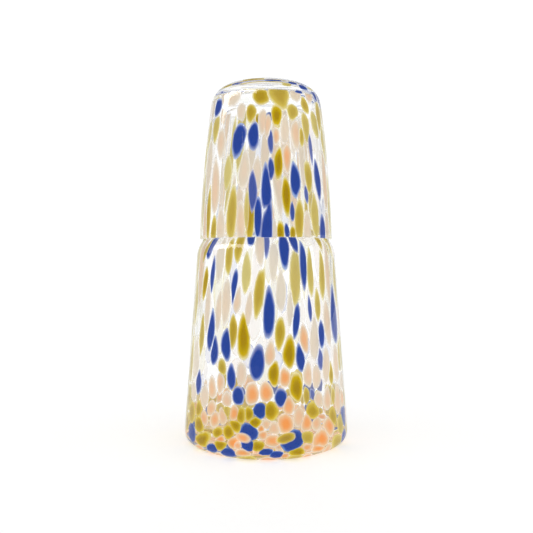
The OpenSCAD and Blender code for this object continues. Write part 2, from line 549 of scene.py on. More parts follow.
# Each chip's back is painted a near-white backlight, as light coming through the wall from behind.
CHIP_FINISHES = {
    Kind.BLUE: ChipFinish(
        name="blue_glass",
        core=(0.02, 0.066, 0.36, 1.0),
        body=(0.024, 0.08, 0.42, 1.0),
        pale=(0.16, 0.2, 0.5, 1.0),
        rim=(0.12, 0.27, 0.64, 1.0),
        painted_backlight=(0.95, 0.95, 0.97, 1.0),
        core_from=0.1,
        core_to=0.5,
        rim_width=0.09,
        core_least=0.3,
    ),
    Kind.AMBER: ChipFinish(
        name="amber_glass",
        core=(0.43, 0.27, 0.0, 1.0),
        body=(0.68, 0.5, 0.0, 1.0),
        pale=(0.68, 0.6, 0.22, 1.0),
        rim=(0.8, 0.69, 0.2, 1.0),
        painted_backlight=(0.95, 0.95, 0.92, 1.0),
        core_from=0.12,
        core_to=0.75,
        rim_width=0.13,
    ),
    Kind.PEACH: ChipFinish(
        name="peach_glass",
        core=(0.92, 0.38, 0.1, 1.0),
        body=(0.86, 0.6, 0.35, 1.0),
        pale=(0.77, 0.69, 0.56, 1.0),
        rim=(0.88, 0.8, 0.68, 1.0),
        painted_backlight=(0.95, 0.95, 0.96, 1.0),
        core_from=0.15,
        core_to=0.8,
        rim_width=0.15,
        solid=0.97,
    ),
}


# Chips


@dataclass
class Layer:
    """The flat layer of chips for one wall.

    A place in it is a column round the vessel and a row along the wall. One row is as long
    as a chip is there, so that a chip of the full size is about one unit across both ways.
    """

    way: np.ndarray
    row: np.ndarray
    points: np.ndarray
    normals: np.ndarray
    columns: int

    ROW_STEP = 0.05

    @classmethod
    def along(cls, path: np.ndarray, depth: float, columns: int, lengths: tuple) -> "Layer":
        """Lays the layer along the outside of a wall.

        Args:
            path: the outside, from the lowest chips up, in millimetres.
            depth: how deep the chips' middle lies, in millimetres.
            columns: chips round the vessel.
            lengths: chip lengths, as pairs of way along the wall and length.

        Returns:
            The layer.
        """
        normals, way = outward(path), way_along(path)
        step = np.interp(way, *np.array(lengths).T)
        row = np.r_[0, np.cumsum(np.diff(way) * 2 / (step[1:] + step[:-1]))]
        return cls(way, row, path - normals * depth, normals, columns)

    def table(self, name: str) -> bpy.types.Object:
        """A mesh with one point for each step of a row, which the chips are wrapped by.

        Args:
            name: the object's name.

        Returns:
            The object. Its "outward" attribute holds the wall's normals.
        """
        rows = np.arange(0, self.row[-1] + self.ROW_STEP, self.ROW_STEP)
        r, z, out, up = (np.interp(rows, self.row, c) for c in (*self.points.T, *self.normals.T))
        flat = 0 * rows
        table = mesh_object(name, np.stack([r, flat, z], 1) * MM, [])
        facing = np.stack([out, flat, up], 1)
        facing /= np.linalg.norm(facing, axis=1, keepdims=True)
        stored = table.data.attributes.new("outward", VECTOR, "POINT")
        stored.data.foreach_set("vector", facing.ravel())
        return table

    def row_at(self, way: float) -> float:
        """The row at a way along the wall, in millimetres."""
        return float(np.interp(way, self.way, self.row))

    def width(self, row: np.ndarray) -> np.ndarray:
        """Width of one column at a row, in millimetres."""
        return FULL_TURN * np.interp(row, self.row, self.points[:, 0]) / self.columns

    def length(self, row: np.ndarray) -> np.ndarray:
        """Length of one row, in millimetres."""
        ahead, back = np.interp([row + self.ROW_STEP, row - self.ROW_STEP], self.row, self.way)
        return (ahead - back) / (2 * self.ROW_STEP)


@dataclass(frozen=True)
class Coat:
    """One coat of chips: where it lies, and what is in it.

    Lengths are of a chip at ways along the path. Chips are scattered round those listed up to
    the way it is filled to, and what reaches over the cut is squeezed flat there.
    Below the foot's way chips lie closer, those placed start larger, and those scattered have
    hard rims. Scattered chips left of the front lean over by the swept degrees as well. Shares
    are of each kind, around, in front and low down.
    """

    name: str
    path: tuple
    lengths: tuple
    placed: dict
    depth: float
    half_thickness: float
    soft: float = 0.0
    swept: float = 0.0
    cut: float = 900.0
    fill_to: float = 0.0
    foot: float = 0.0
    around: Shares = (0.18, 0.34, 0.42, 0.06)
    front: Shares = (0.01, 0.17, 0.79, 0.03)
    low: Shares = (0.08, 0.42, 0.47, 0.03)


@dataclass
class Scatter:
    """Chips laid in a layer: those listed first, and the rest in the room left.

    A site is a row of numbers: its column and row, its half width and half length in columns
    and rows, its lean in degrees, its kind, its shade, and how softly its rim fades.
    """

    layer: Layer
    coat: Coat
    seed: int

    # The front's bearing, and how far to its sides chips are drawn as in front, in degrees.
    FRONT = 270
    FRONT_REACH = 72
    # Draws for each place in the layer, and how near to another chip one may start.
    TRIES = 20
    SPACING = 0.82
    # How much larger than its room a chip starts, and one listed near the foot.
    OVERGROWTH = 2.0
    CROWDED = 1.2
    # How much sizes vary, and the width and length of the chips off the front.
    SPREAD_FRONT = 0.22
    SPREAD_AROUND = 0.4
    SIZE_AROUND = (0.86, 0.82)
    # Widths and lengths of the chips as the draws go on.
    LATE = (0, 0.4, 0.7, 1)
    LATE_WIDTHS = (1, 0.9, 0.65, 0.5)
    LATE_LENGTHS = (1, 0.95, 0.85, 0.65)
    # The deepest shades, and near the foot the palest and how much deeper others may be.
    SHADE_PEACH = 0.25
    SHADE_OTHER = 0.75
    SHADE_LOW = 0.3
    SHADE_LOW_DEEPER = 0.7
    # Most degrees of lean to either side, and half the sector left of the front that is swept.
    LEAN = 4
    SWEPT_HALF = 30
    # How softly rims fade, and those of pale listed chips.
    SOFT = 0.6
    SOFT_PALE = 0.5
    # How much of the painted backlight shows on chips' backs near the foot, and the clear gaps
    # there and elsewhere.
    BEHIND_LOW = 0.15
    GAP_LOW = 0.02
    GAP = 0.035
    # How pointed long chips are, and how much longer than wide the most pointed are.
    POINTED = 0.3
    POINTED_OVER = 2.5
    # Columns on each side of the seam that are repeated past it.
    SEAM = 3

    def sites(self) -> dict[str, np.ndarray]:
        """Finds a place for every chip.

        Returns:
            Columns of one value or vector for each site, by name.
        """
        placed, thrown = self._placed(), self._thrown()
        table = np.concatenate([placed, thrown])
        count = len(placed)
        for site in thrown:
            apart = np.abs(table[:count, :2] - site[:2])
            apart[:, 0] = np.minimum(apart[:, 0], self.layer.columns - apart[:, 0])
            room = table[:count, 2:4] + site[2:4]
            if np.min(np.hypot(*(apart / room).T)) < self.SPACING:
                continue
            table[count] = site
            table[count, 2:4] *= self.OVERGROWTH
            count += 1
        return self._columns(table[:count])

    def _placed(self) -> np.ndarray:
        """Lays the listed chips.

        Returns:
            One row for each site.
        """
        rows = []
        for kind, chips in self.coat.placed.items():
            for turn, way, width, length, lean, shade in chips:
                column = (self.FRONT + turn) % 360 / 360 * self.layer.columns
                row = self.layer.row_at(way)
                half = self.CROWDED / 2 if way < self.coat.foot else 1 / 2
                half_w = width * half / self.layer.width(row)
                half_l = length * half / self.layer.length(row)
                soft = max(self.coat.soft, self.SOFT_PALE * (1 - shade))
                rows.append((column, row, half_w, half_l, lean, kind, shade, soft))
        return np.array(rows, float)

    def _thrown(self) -> np.ndarray:
        """Draws more sites than there is room for, with smaller and smaller chips.

        Returns:
            One row for each site.
        """
        rng = np.random.default_rng(self.seed)
        columns = self.layer.columns
        top, foot = self.layer.row_at(self.coat.fill_to), self.layer.row_at(self.coat.foot)
        tries = int(columns * top * self.TRIES)
        spots = rng.random((tries, 2)) * (columns, top)
        turn = spots[:, 0] / columns * 360 - self.FRONT
        is_around = np.abs(turn) > self.FRONT_REACH
        is_low = spots[:, 1] < foot
        spread = np.where(is_around, self.SPREAD_AROUND, self.SPREAD_FRONT)[:, None]
        sizes = 1 + spread * (2 * rng.random((tries, 2)) - 1)
        sizes *= np.where(is_around[:, None], self.SIZE_AROUND, 1)
        late = np.arange(tries) / tries
        sizes[:, 0] *= np.interp(late, self.LATE, self.LATE_WIDTHS)
        sizes[:, 1] *= np.interp(late, self.LATE, self.LATE_LENGTHS)
        lots = rng.random(tries)
        mixes = (self.coat.around, self.coat.front, self.coat.low)
        around, front, low = (np.searchsorted(np.cumsum(m) / sum(m), lots) for m in mixes)
        kinds = np.where(is_low, low, np.where(is_around, around, front))
        shades = rng.random(tries)
        deepest = np.where(kinds == Kind.PEACH, self.SHADE_PEACH, self.SHADE_OTHER)
        shades *= np.where(is_low, self.SHADE_LOW_DEEPER, deepest)
        shades += self.SHADE_LOW * is_low
        leans = self.LEAN * (2 * rng.random(tries) - 1)
        leans += self.coat.swept * (np.abs(turn + self.SWEPT_HALF) < self.SWEPT_HALF)
        softs = np.where(is_low, 0, self.SOFT)
        return np.c_[spots, 0.5 * sizes, leans, kinds, shades, softs]

    def _columns(self, table: np.ndarray) -> dict[str, np.ndarray]:
        """Turns sizes and leans into the chips' two half axes, and repeats the seam's chips.

        Args:
            table: one row for each site.

        Returns:
            Columns of one value or vector for each site, by name.
        """
        spots, halves = table[:, :2], table[:, 2:4]
        leans, kinds, shades, softs = table[:, 4:].T
        wide, long = self.layer.width(spots[:, 1]), self.layer.length(spots[:, 1])
        tilt = np.radians(leans)
        half_w, half_l = halves[:, 0] * wide, halves[:, 1] * long
        flat = 0 * tilt
        is_low = spots[:, 1] < self.layer.row_at(self.coat.foot)
        sites = {
            "position": np.c_[spots, flat],
            "across": np.c_[half_w * np.cos(tilt) / wide, -half_w * np.sin(tilt) / long, flat],
            "up": np.c_[half_l * np.sin(tilt) / wide, half_l * np.cos(tilt) / long, flat],
            "reach": np.sqrt(halves[:, 0] * halves[:, 1]),
            "behind": np.where(is_low, self.BEHIND_LOW, 1),
            "gap": np.where(is_low, self.GAP_LOW, self.GAP),
            "pointed": self.POINTED * np.clip((half_l / half_w - 1) / self.POINTED_OVER, 0, 1),
            "kind": kinds,
            "shade": shades,
            "soft": softs,
        }
        columns = self.layer.columns
        near_start, near_end = spots[:, 0] < self.SEAM, spots[:, 0] > columns - self.SEAM
        rows = {}
        for name, value in sites.items():
            first, last = value[near_start].copy(), value[near_end].copy()
            if name == "position":
                first[:, 0] += columns
                last[:, 0] -= columns
            if name == "kind":
                first[:], last[:] = Kind.CLEAR, Kind.CLEAR
            rows[name] = np.concatenate([value, first, last])
        return rows


class MeltTree:
    """Geometry nodes that grow chips at their sites until they meet, and wrap them on a wall."""

    NAME = "chips_melted_into_a_wall"
    INPUTS = {
        "Geometry": ("Sites",),
        "Object": ("Wall",),
        "Float": ("Row step", "Cut row", "Columns", "Half thickness", "Unevenness", "Seed", "Kind"),
        "Int": ("Sides",),
        "Material": ("Glass",),
    }
    KEPT = ("position", "inset", "shade", "soft", "inside", "material_index", "sharp_face", "sharp_edge")
    # Rings of faces in a lens, and how often its edge is pulled back.
    RINGS = 4
    PULLS = 5
    # The smallest share of its edge that a chip keeps, and the least that a value is divided by.
    LEAST_GROWN = 0.12
    LEAST_EDGE = 0.1
    LEAST_FACING = 1e-4
    # Fineness of the uneven edge, and how it is smoothed afterwards.
    WAVES = 1.3
    WAVES_DETAIL = 1.0
    EASINGS = 2
    EASED = 0.6
    # How fast a lens turns from its front to its back.
    BACK_SLOPE = 4
    # What is left of the length of what reaches past the lowest row or the cut.
    SQUEEZED = 0.02
    # Insets that count as the edge, and numbers that count as the same.
    EDGE_INSET = 0.001
    SAME_WITHIN = 0.1

    def __init__(self) -> None:
        """Builds the tree."""
        self.tree = bpy.data.node_groups.new(self.NAME, "GeometryNodeTree")
        for kind, names in self.INPUTS.items():
            for name in names:
                self.tree.interface.new_socket(name, in_out="INPUT", socket_type=f"NodeSocket{kind}")
        self.tree.interface.new_socket("Chips", in_out="OUTPUT", socket_type="NodeSocketGeometry")
        self.bench = Bench(self.tree)
        self.given = self.bench.add("NodeGroupInput")
        self.place = self.bench.add("GeometryNodeInputPosition")["Position"]
        chips = self._wrapped(self._laid(self._grown(self._started())))
        self.bench.add("NodeGroupOutput", {"Chips": chips})

    def _store(self, geometry: Wire, name: str, value: Any, kind: str = "FLOAT") -> Wire:
        """Stores a value on each point."""
        values = {"Geometry": geometry, "Name": name, "Value": value}
        return self.bench.add("GeometryNodeStoreNamedAttribute", values, data_type=kind)["Geometry"]

    def _read(self, name: str, kind: str = "FLOAT") -> Wire:
        """Reads a stored value."""
        made = self.bench.add("GeometryNodeInputNamedAttribute", {"Name": name}, data_type=kind)
        return made["Attribute"]

    def _sample(self, geometry: Wire, value: Wire, index: Wire, kind: str = "FLOAT") -> Wire:
        """Reads a value at one point of other geometry."""
        values = {"Geometry": geometry, "Value": value, "Index": index}
        return self.bench.add("GeometryNodeSampleIndex", values, data_type=kind, clamp=True)["Value"]

    def _is(self, a: Wire, b: Wire) -> Wire:
        """Whether two whole numbers are the same."""
        values = {"A": a, "B": b, "Epsilon": self.SAME_WITHIN}
        return self.bench.add("FunctionNodeCompare", values, operation="EQUAL")["Result"]

    def _moved(self, chips: Wire, place: Wire) -> Wire:
        """Moves each point to its place."""
        values = {"Geometry": chips, "Position": place}
        return self.bench.add("GeometryNodeSetPosition", values)["Geometry"]

    def _started(self) -> Wire:
        """Puts one round lens at each site of the wanted kind, made into one mesh.

        Returns:
            The lenses, which keep what was stored on their sites.
        """
        bench = self.bench
        sites = self._store(self.given["Sites"], "site", self.place, VECTOR)
        sites = self._store(sites, "own", bench.add("GeometryNodeInputIndex")["Index"])
        ball = {"Segments": self.given["Sides"], "Rings": self.RINGS}
        lenses = {
            "Points": sites,
            "Selection": self._is(self._read("kind"), self.given["Kind"]),
            "Instance": bench.add("GeometryNodeMeshUVSphere", ball)["Mesh"],
        }
        instances = bench.add("GeometryNodeInstanceOnPoints", lenses)["Instances"]
        made = bench.add("GeometryNodeRealizeInstances", {"Geometry": instances})["Geometry"]
        local = bench.vector("SUBTRACT", self.place, self._read("site", VECTOR))
        flat = bench.vector("MULTIPLY", local, (1.0, 1.0, 0.0))
        made = self._store(made, "local", local, VECTOR)
        made = self._store(made, "heading", bench.vector("NORMALIZE", flat), VECTOR)
        return self._store(made, "inset", 1 - bench.vector("LENGTH", flat))

    def _grown(self, chips: Wire) -> Wire:
        """Gives each chip its full edge, and pulls that back to where it meets its neighbours.

        Args:
            chips: the lenses.

        Returns:
            The lenses, with the edge and the share of it that is left.
        """
        bench = self.bench
        site, edge = self._read("site", VECTOR), self._read("edge", VECTOR)
        heading = bench.parts(self._read("heading", VECTOR))
        slim = 1 - self._read("pointed") * heading["Y"] * heading["Y"]
        across = bench.scaled(self._read("across", VECTOR), heading["X"] * slim)
        full = bench.vector("ADD", across, bench.scaled(self._read("up", VECTOR), heading["Y"]))
        waves = {
            "Vector": bench.vector("ADD", site, full),
            "W": self.given["Seed"],
            "Scale": self.WAVES,
            "Detail": self.WAVES_DETAIL,
        }
        wave = bench.add("ShaderNodeTexNoise", waves, noise_dimensions="4D")["Fac"]
        uneven = 1 + (wave - 0.5) * self.given["Unevenness"]
        chips = self._store(chips, "edge", bench.scaled(full, uneven), VECTOR)
        chips = self._store(chips, "grown", 1.0)
        grown, sites = self._read("grown"), self.given["Sites"]
        for _ in range(self.PULLS):
            front = bench.vector("ADD", site, bench.scaled(edge, grown))
            asked = {"Geometry": sites, "Sample Position": front}
            nearest = bench.add("GeometryNodeSampleNearest", asked)["Index"]
            other = self._sample(sites, self.place, nearest, VECTOR)
            reach = self._sample(sites, self._read("reach"), nearest)
            apart = bench.vector("SUBTRACT", other, site)
            distance = bench.vector("DOT_PRODUCT", apart, apart)
            facing = bench.vector("DOT_PRODUCT", edge, apart).at_least(self.LEAST_FACING)
            share = self._read("reach") / (self._read("reach") + reach)
            gap = self._read("gap") / bench.vector("LENGTH", edge).at_least(self.LEAST_EDGE)
            meeting = (share * distance / facing - gap).at_least(self.LEAST_GROWN)
            is_own = self._is(nearest, self._read("own"))
            pulled = {"Switch": is_own, "False": grown.at_most(meeting), "True": grown}
            pulled = bench.add("GeometryNodeSwitch", pulled, input_type="FLOAT")["Output"]
            chips = self._store(chips, "grown", pulled)
        return chips

    def _laid(self, chips: Wire) -> Wire:
        """Lays each point in the flat layer, with its corners eased, and marks the chips' backs.

        Args:
            chips: the lenses, with their edges.

        Returns:
            The flat layer of chips.
        """
        bench = self.bench
        blur = {"Value": self._read("grown"), "Iterations": self.EASINGS, "Weight": self.EASED}
        grown = bench.add("GeometryNodeBlurAttribute", blur, data_type="FLOAT")["Value"]
        edge = self._read("edge", VECTOR)
        out = bench.scaled(edge, grown * (1 - self._read("inset")))
        spot = bench.vector("ADD", self._read("site", VECTOR), out)
        rise = bench.parts(self._read("local", VECTOR))["Z"]
        # The backs, which the chips' material paints as lit from behind, with less of it near the foot.
        inside = (0.5 - self.BACK_SLOPE * rise).within_one() * self._read("behind")
        chips = self._store(chips, "inside", inside)
        return self._moved(chips, bench.vector("ADD", spot, bench.joined(z=rise)))

    def _wrapped(self, chips: Wire) -> Wire:
        """Wraps the flat layer onto the wall, and gives the chips their glass.

        Args:
            chips: the flat layer.

        Returns:
            The chips in the wall.
        """
        bench = self.bench
        shape = bench.add(
            "GeometryNodeObjectInfo", {"Object": self.given["Wall"]}, transform_space="ORIGINAL"
        )["Geometry"]
        spot = bench.parts(self.place)
        row = spot["Y"].at_least(spot["Y"] * self.SQUEEZED)
        cut = self.given["Cut row"]
        row = row.at_most(cut + (row - cut) * self.SQUEEZED)
        step = row / self.given["Row step"]
        below = bench.math("FLOOR", step.at_least(0.0))
        profile = self._between(shape, self.place, below, step - below)
        facing = self._between(shape, self._read("outward", VECTOR), below, step - below)
        lift = bench.scaled(facing, spot["Z"] * self.given["Half thickness"])
        flat = bench.parts(bench.vector("ADD", profile, lift))
        turn = spot["X"] * (FULL_TURN / self.given["Columns"].at_least(1.0))
        x, y = (flat["X"] * bench.math(operation, turn) for operation in ("COSINE", "SINE"))
        chips = self._moved(chips, bench.joined(x, y, flat["Z"]))
        chips = bench.add("GeometryNodeSetShadeSmooth", {"Geometry": chips})["Geometry"]
        inset = {"A": self._read("inset"), "B": self.EDGE_INSET}
        on_rim = bench.add("FunctionNodeCompare", inset, data_type="FLOAT", operation="LESS_THAN")
        sharp = {"Geometry": chips, "Selection": on_rim["Result"], "Shade Smooth": False}
        chips = bench.add("GeometryNodeSetShadeSmooth", sharp, domain="EDGE")["Geometry"]
        dressed = {"Geometry": chips, "Material": self.given["Glass"]}
        return bench.add("GeometryNodeSetMaterial", dressed)["Geometry"]

    def _between(self, shape: Wire, value: Wire, below: Wire, part: Wire) -> Wire:
        """Reads the wall's table between two of its rows.

        Args:
            shape: the table.
            value: what is read.
            below: the lower row.
            part: the share of the way to the next row.

        Returns:
            The value there.
        """
        here, there = (self._sample(shape, value, row, VECTOR) for row in (below, below + 1))
        bench = self.bench
        return bench.vector("ADD", bench.scaled(here, 1 - part), bench.scaled(there, part))

    def chips(self, name: str, sites: bpy.types.Object, values: dict[str, Any]) -> bpy.types.Object:
        """Makes the chips of one kind.

        Args:
            name: the new object's name.
            sites: the object that holds the sites.
            values: the tree's inputs, by name.

        Returns:
            The chips, as one plain mesh.
        """
        modifier = sites.modifiers.new("melt", "NODES")
        modifier.node_group = self.tree
        keys = {i.name: i.identifier for i in self.tree.interface.items_tree if i.in_out == "INPUT"}
        for key, value in values.items():
            modifier[keys[key]] = value
        depsgraph = bpy.context.evaluated_depsgraph_get()
        mesh = bpy.data.meshes.new_from_object(sites.evaluated_get(depsgraph))
        sites.modifiers.remove(modifier)
        for spare in [a.name for a in mesh.attributes if a.name not in self.KEPT]:
            attribute = mesh.attributes.get(spare)
            if attribute is not None and not attribute.is_required and not attribute.is_internal:
                mesh.attributes.remove(attribute)
        mesh.name = name
        obj = bpy.data.objects.new(name, mesh)
        bpy.context.scene.collection.objects.link(obj)
        return obj


# Listed chips


# Chips that stand out in front, each as turn from the front, way up the wall, width, length, lean
# and depth of colour: degrees, millimetres, millimetres, millimetres, degrees, and a share.
CARAFE_FRONT = {
    Kind.BLUE: (
        (-38, 37, 13, 6, -14, 1), (-26, 36, 15, 7, -5, 1), (7, 36, 17, 5, 0, 1),
        (0, 38, 18, 4, 0, 1), (68, 38, 9, 8, 0, 0.5), (-12, 41, 13, 7, -18, 1),
        (-62, 42, 10, 10, -15, 0.9), (17, 43, 17, 12, 0, 1), (70, 50, 9, 12, 0, 0.4),
        (-11, 48, 16, 11, -10, 1), (-4, 59, 11, 9, -20, 1), (10, 65, 10, 12, 4, 1),
        (-19, 66, 8, 15, 0, 1), (-56, 70, 8, 17, 3, 1), (-24, 75, 6, 17, -5, 0.9),
        (-6, 82, 9, 20, 5, 1), (25, 85, 7, 18, -10, 1), (42, 84, 5, 14, 0, 0.2),
        (-40, 88, 6, 17, 0, 1), (-29, 92, 8, 22, 0, 1), (-44, 98, 8, 25, 3, 1),
        (44, 97, 7, 18, 0, 0.9), (22, 105, 5, 22, 8, 0.9), (63, 105, 11, 42, -2, 0.6),
        (2, 109, 8, 30, 0, 1), (34, 111, 3, 16, -3, 0.4), (-24, 124, 5, 27, 8, 0.9),
        (-46, 128, 4, 26, 6, 0.7), (30, 135, 5, 32, 0, 0.8), (14, 143, 8, 27, -1, 1),
        (-52, 144, 8, 18, 22, 0.9), (0, 148, 4, 22, 0, 0.2), (23, 149, 6, 18, -10, 0.8),
        (-12, 150, 6, 11, 5, 0.9), (4, 220, 4, 6, 0, 1), (33, 66, 4, 7, -20, 0.1),
    ),
    Kind.AMBER: (
        (21, 37, 17, 6, 0, 0.9), (-48, 40, 19, 8, -20, 1), (57, 37, 14, 10, 12, 0.5),
        (-31, 40, 13, 8, -12, 0.9), (-5, 41, 12, 6, 0, 0.9), (28, 44, 8, 7, 0, 0.5),
        (63, 46, 9, 13, 0, 0.4), (-25, 47, 9, 8, 0, 0.9), (-51, 48, 10, 12, -12, 0.9),
        (-33, 46, 7, 7, 0, 0.8), (-20, 51, 9, 7, 20, 0.9), (-7, 53, 11, 8, -10, 1),
        (52, 52, 7, 11, -12, 0.6), (-64, 53, 10, 14, 0, 0.7), (-53, 56, 6, 10, 0, 0.7),
        (-17, 56, 8, 13, 3, 0.8), (-11, 57, 6, 9, 0, 0.9), (33, 57, 11, 12, -3, 0.7),
        (3, 59, 10, 12, 4, 0.9), (54, 63, 5, 11, 0, 0.4), (-27, 58, 5, 9, 0, 0.3),
        (21, 70, 11, 19, -6, 1), (53, 75, 5, 15, -2, 0.6), (5, 78, 8, 19, -3, 1),
        (-32, 80, 6, 11, -2, 0.6), (69, 82, 7, 22, -3, 0.2), (16, 88, 10, 21, 5, 1),
        (-55, 96, 6, 30, 4, 0.5), (-16, 97, 10, 38, 3, 1), (10, 99, 7, 21, 4, 0.7),
        (-24, 100, 8, 27, 5, 0.7), (42, 112, 5, 21, -2, 0.4), (-5, 120, 7, 38, 9, 0.6),
        (-54, 126, 6, 25, 8, 0.8), (49, 130, 8, 38, 0, 0.4), (36, 131, 6, 32, 0, 0.3),
        (-30, 139, 6, 26, 4, 0.5), (-22, 145, 6, 26, 5, 0.6), (-10, 219, 10, 8, 0, 1),
        (15, 218, 7, 9, 0, 1), (-15, 130, 6, 28, 3, 0.1), (-72, 78, 8, 34, 2, 0.3),
        (-70, 115, 8, 36, 3, 0.2), (72, 125, 8, 34, -2, 0.3),
    ),
    Kind.PEACH: (
        (-15, 37, 15, 6, -4, 0.9), (12, 35, 7, 4, 0, 0.9), (37, 37, 14, 5, 8, 1),
        (-52, 35, 12, 4, -20, 0.9), (27, 39, 8, 4, 0, 0.7), (39, 42, 17, 10, -8, 1),
        (-21, 42, 12, 7, -8, 1), (4, 44, 14, 8, 0, 0.8), (-31, 43, 9, 5, -20, 0.9),
        (48, 48, 10, 11, 0, 0.8), (28, 52, 9, 11, 0, 0.8), (-36, 53, 9, 11, 0, 0.6),
        (-47, 52, 8, 9, 0, 0.5), (13, 52, 12, 13, -14, 1), (-21, 57, 8, 12, 2, 0.8),
        (15, 61, 8, 11, -3, 0.7), (-9, 67, 11, 15, 0, 0.9), (0, 68, 11, 15, -2, 0.9),
        (-40, 68, 8, 16, 2, 0.4), (13, 76, 9, 12, 3, 0.9), (-33, 73, 6, 18, 2, 0.4),
        (30, 76, 8, 16, 0, 0.3), (28, 95, 8, 18, -8, 0.6), (3, 87, 6, 17, 3, 0.4),
        (-31, 115, 9, 36, 6, 0.1), (11, 121, 8, 32, 1, 0), (6, 138, 7, 32, 1, 0),
        (-38, 139, 8, 32, 5, 0), (-4, 146, 8, 34, 0, 0.1), (-22, 115, 7, 22, 10, 0.2),
        (-2, 47, 8, 6, 0, 0.7), (5, 50, 8, 8, 0, 0.3), (0, 52, 7, 6, 0, 0.3),
        (22, 55, 8, 11, 0, 0.3), (35, 51, 7, 8, 0, 0.4), (-40, 58, 8, 11, 0, 0.4),
        (-30, 55, 6, 12, 0, 0.3), (-27, 63, 7, 12, 0, 0.3), (38, 63, 9, 12, 0, 0.2),
        (47, 62, 8, 14, 0, 0.3), (60, 60, 8, 20, 0, 0.2), (-3, 50, 6, 6, -30, 1),
        (-13, 110, 5, 30, 8, 0.1), (18, 112, 5, 26, 4, 0), (-37, 110, 6, 30, 6, 0.1),
    ),
}
# Chips that lie over others, nearer the outside.
CARAFE_OVER = {
    Kind.BLUE: ((-48, 146, 3, 12, 22, 0.3),),
    Kind.AMBER: ((13, 45, 12, 6, -12, 0.9), (-56, 143, 4, 18, 22, 0.6)),
    Kind.PEACH: ((-15, 45, 10, 6, 12, 0.9), (-18, 41, 5, 5, -18, 0.7)),
}
# The same for the tumbler, up from its rim.
TUMBLER_FRONT = {
    Kind.BLUE: (
        (1, 0, 9, 32, 0, 0.9), (56, 3, 9, 22, -5, 0.6), (22, 13, 3, 12, 0, 0.6),
        (-7, 11, 5, 32, 0, 1), (0, 25, 8, 34, 0, 1), (36, 23, 3, 11, -6, 0.2),
        (25, 30, 8, 24, -6, 1), (51, 32, 6, 24, -6, 0.7), (4, 36, 4, 12, 0, 0.7),
        (44, 50, 3, 20, -4, 0.1), (4, 52, 4, 16, -3, 0.4), (-25, 53, 12, 22, 9, 1),
        (-11, 55, 8, 17, 0, 1), (-56, 73, 9, 13, 14, 0.9), (17, 3, 3, 9, -6, 0.8),
    ),
    Kind.AMBER: (
        (11, 2, 8, 15, 0, 1), (-49, 4, 8, 20, 4, 0.6), (28, 9, 8, 28, 0, 0.6),
        (45, 12, 8, 30, -4, 0.3), (-13, 11, 8, 36, 0, 0.8), (-29, 12, 8, 38, 2, 0.5),
        (-58, 13, 7, 40, 2, 0.6), (17, 22, 7, 27, -6, 1), (39, 32, 8, 22, -4, 0.5),
        (-35, 35, 6, 24, 2, 0.1), (11, 40, 7, 23, 2, 1), (34, 55, 5, 12, 0, 0.5),
        (-55, 62, 9, 19, 8, 0.3), (54, 64, 8, 17, -12, 0.2), (10, 65, 9, 16, 0, 1),
        (-14, 67, 7, 12, 0, 0.7), (26, 68, 8, 11, 0, 0.5), (41, 73, 6, 11, -20, 0.6),
        (-5, 76, 12, 10, 0, 0.8), (13, 78, 15, 23, -8, 0.6), (22, 2, 4, 8, 0, 0.9),
        (-71, 22, 8, 44, 3, 0.2), (-69, 60, 8, 26, 6, 0.1), (72, 20, 8, 40, -3, 0.2),
        (69, 56, 8, 30, -5, 0.2),
    ),
    Kind.PEACH: (
        (-7, 33, 6, 26, 0, 0.1), (-19, 36, 8, 27, 3, 0.1), (18, 43, 8, 21, -2, 0.6),
        (-45, 53, 11, 22, 5, 0.2), (9, 54, 7, 12, 0, 0.5), (28, 57, 9, 21, -2, 0.3),
        (-2, 62, 8, 19, 0, 0.2), (-39, 78, 25, 15, 8, 0.1), (48, 79, 9, 9, -25, 0.3),
        (-41, 5, 8, 26, 0, 0.1), (-21, 7, 8, 30, 0, 0.2), (7, 1, 5, 16, 0, 0),
        (36, 4, 8, 24, 0, 0.1), (64, 6, 8, 26, -3, 0.1), (1, 60, 7, 18, 0, 0.3),
        (-24, 68, 6, 13, 0, 0.1), (30, 79, 10, 11, 0, 0.1), (-44, 67, 8, 13, 6, 0.1),
    ),
}
TUMBLER_OVER = {
    Kind.BLUE: ((-11, 24, 6, 24, 0, 0.8),),
    Kind.AMBER: ((-16, 14, 3, 24, 0, 0.3),),
}
# Streaks drawn round the tumbler's heavy end.
TUMBLER_END = {
    Kind.BLUE: (
        (9, 87, 20, 2, 0, 1), (29, 86, 16, 3, 0, 1), (43, 84, 9, 4, 0, 1), (60, 81, 5, 9, -20, 0.5),
        (-34, 86, 20, 2, 0, 0.5), (35, 80, 9, 2, 0, 1), (70, 80, 5, 12, -20, 0.4),
        (150, 86, 24, 3, 0, 1), (220, 87, 22, 2, 0, 0.8),
    ),
    Kind.AMBER: (
        (-18, 89, 28, 3, 0, 0.7), (-48, 86, 18, 3, 0, 0.5), (24, 84, 13, 3, 0, 0.3),
        (60, 85, 10, 3, 0, 0.4), (100, 86, 26, 3, 0, 0.6), (185, 88, 24, 3, 0, 0.7),
        (255, 87, 26, 3, 0, 0.5), (-78, 84, 12, 5, 0, 0.4),
    ),
}


# The two vessels


